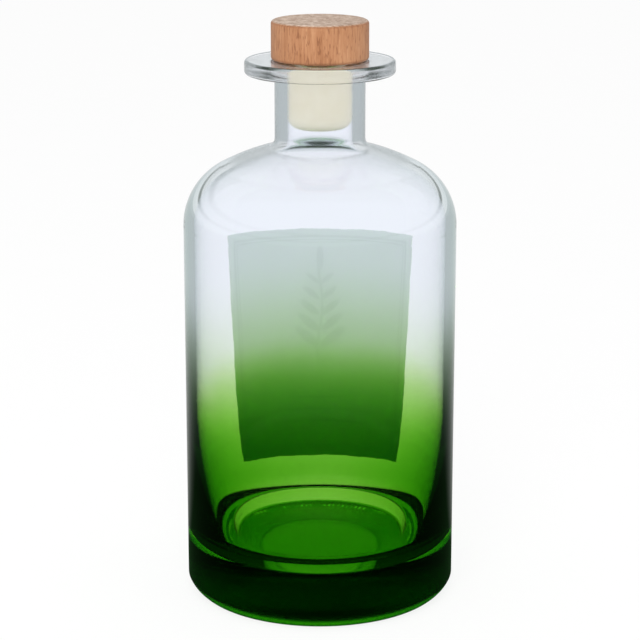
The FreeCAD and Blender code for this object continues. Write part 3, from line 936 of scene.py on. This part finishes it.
def floor_finish():
    material, nodes = new_finish("studio_floor")
    x, y, _ = nodes.parts(nodes.object_place())
    away = (x**2 + y**2) ** 0.5
    direct, straight, within, on_glass = sight_lines(nodes)
    white_share = (direct * 0.85).max(straight)
    grain = nodes.noise(nodes.object_place(), 40, detail=2)
    pale = nodes.blend(grain, (0.80, 0.80, 0.80, 1), (0.83, 0.83, 0.83, 1))
    matt = principled(nodes, Base_Color=pale, Roughness=0.8, Specular_IOR_Level=0)
    white = nodes.node("ShaderNodeEmission", None, {"Color": (1, 1, 1, 1), "Strength": 1})
    lit = nodes.node("ShaderNodeMixShader", None, {0: white_share, 1: matt, 2: white})
    steep = 1 - nodes.node("ShaderNodeLayerWeight", None, {"Blend": 0.5}, "Facing")
    from_height = direct.of("Ray Length") * steep
    far = nodes.ramped(away, DIM_INNER, DIM_OUTER).max(nodes.ramped(from_height, *DIM_HEIGHTS))
    # Painted shade and painted reflection, shown only to light that glass mirrors.
    dimness = nodes.blend(far, DIM_NEAR, DIM_FAR)
    behind = nodes.ramped(y / away, 0.5, 1, smooth=False) ** 1.5 * BACKDROP_GLOSS
    mirrored = nodes.blend(behind * on_glass, dimness, (1, 1, 1, 1))
    dim = nodes.node("ShaderNodeEmission", None, {"Color": mirrored, "Strength": 1})
    show(nodes, nodes.node("ShaderNodeMixShader", None, {0: within.max(on_glass), 1: lit, 2: dim}))
    return material


floor_mesh = bpy.data.meshes.new("studio_floor")
half = FLOOR_SIZE / 2
floor_corners = ((-half, -half), (half, -half), (half, half), (-half, half))
floor_mesh.from_pydata([(x, y, -FLOOR_DROP) for x, y in floor_corners], [], [(0, 1, 2, 3)])
floor_mesh.materials.append(floor_finish())
floor = bpy.data.objects.new("studio_floor", floor_mesh)
bpy.context.scene.collection.objects.link(floor)


def dark_reflection_finish(name, full, top):
    """A painted dark reflection: dark where it is mirrored within glass, fading out towards its top, and
    otherwise not there.
    """
    material, nodes = new_finish(name)
    height = nodes.parts(nodes.object_place())[2]
    path, _, within, _ = sight_lines(nodes)
    clear = nodes.node("ShaderNodeBsdfTransparent")
    dark = nodes.node("ShaderNodeEmission", None, {"Color": (0.004, 0.012, 0.004, 1), "Strength": 1})
    cover = within * nodes.ramped(height, top, full) * (path.of("Ray Length") < DARK_REFLECTION_REACH)
    show(nodes, nodes.node("ShaderNodeMixShader", None, {0: cover, 1: clear, 2: dark}))
    return material


def dark_reflection_ring(name, radius, bottom, full, top):
    """An upright ring round the bottle that paints a dark reflection into only what is mirrored within
    glass.
    """
    sides = 96
    turns = [i * math.tau / sides for i in range(sides)]
    mesh = bpy.data.meshes.new(name)
    mesh.from_pydata(
        [(math.cos(turn) * radius, math.sin(turn) * radius, z) for z in (bottom, top) for turn in turns],
        [],
        [(i, (i + 1) % sides, sides + (i + 1) % sides, sides + i) for i in range(sides)],
    )
    mesh.materials.append(dark_reflection_finish(name, full, top))
    dark_ring = bpy.data.objects.new(name, mesh)
    bpy.context.scene.collection.objects.link(dark_ring)


# A painted dark reflection round the bottle, seen only within the glass.
dark_reflection_ring("painted_dark_reflection", **NEAR_DARK_REFLECTION)

# The room above the floor, where glass mirrors it.
ROOM_TINT = (0.93, 0.985, 1.02, 1)
ROOM_LIGHT = 0.78
ROOM_GLOSS = 0.85
# Depth of the painted dark reflections, seen only in what glass mirrors.
STRIP_DARKNESS = 0.68


def mirrored_sky(nodes):
    """Brightness of the room mirrored within glass: pale, with painted dark reflections in a low strip and
    in one on the left.
    """
    across, _, up = nodes.parts(nodes.node("ShaderNodeTexCoord", None, None, "Generated"))
    low = 1 - nodes.ramped(abs(up - 0.12), 0.01, 0.05)
    high = (1 - nodes.ramped(abs(up - 0.34), 0.02, 0.07)) * nodes.ramped(across, 0.1, -0.1)
    return ROOM_LIGHT - STRIP_DARKNESS * low.max(high * 0.8)


scene = bpy.context.scene
world = bpy.data.worlds.new("studio_light")
world.use_nodes = True
world.node_tree.nodes.clear()
sky = Nodes(world.node_tree)
direct, straight, within, on_glass = sight_lines(sky)
plain = (1 - within) * (1 - on_glass)
seen = 0.95 + 0.05 * direct.max(straight)
strength = seen * plain + mirrored_sky(sky) * within + ROOM_GLOSS * on_glass
tint = sky.blend(within.max(on_glass), (1, 1, 1, 1), ROOM_TINT)
background = sky.node("ShaderNodeBackground", None, {"Color": tint, "Strength": strength})
sky.node("ShaderNodeOutputWorld", None, {"Surface": background})
scene.world = world


def softbox(name, place, target, size, power):
    lamp = bpy.data.lights.new(name, "AREA")
    lamp.shape = "RECTANGLE"
    lamp.size, lamp.size_y = size
    lamp.energy = power
    holder = bpy.data.objects.new(name, lamp)
    holder.visible_glossy = False
    holder.visible_transmission = False
    holder.location = place
    holder.rotation_euler = (Vector(target) - Vector(place)).to_track_quat("-Z", "Y").to_euler()
    scene.collection.objects.link(holder)


BOTTLE_MIDDLE = (0, 0, BOTTLE_HEIGHT / 2)
softbox("key_softbox", (-0.12, -0.98, 0.95), BOTTLE_MIDDLE, (0.7, 0.9), 10.8)

camera_data = bpy.data.cameras.new("camera")
camera_data.sensor_width = 36
camera_data.lens = CAMERA_LENS
camera = bpy.data.objects.new("camera", camera_data)
camera.location = CAMERA_PLACE
camera.rotation_euler = (math.pi / 2 + CAMERA_PITCH, 0, 0)
scene.collection.objects.link(camera)
scene.camera = camera

scene.view_settings.view_transform = "Standard"
scene.cycles.max_bounces = 32
scene.cycles.transmission_bounces = 32
scene.cycles.glossy_bounces = 16
scene.cycles.blur_glossy = 0
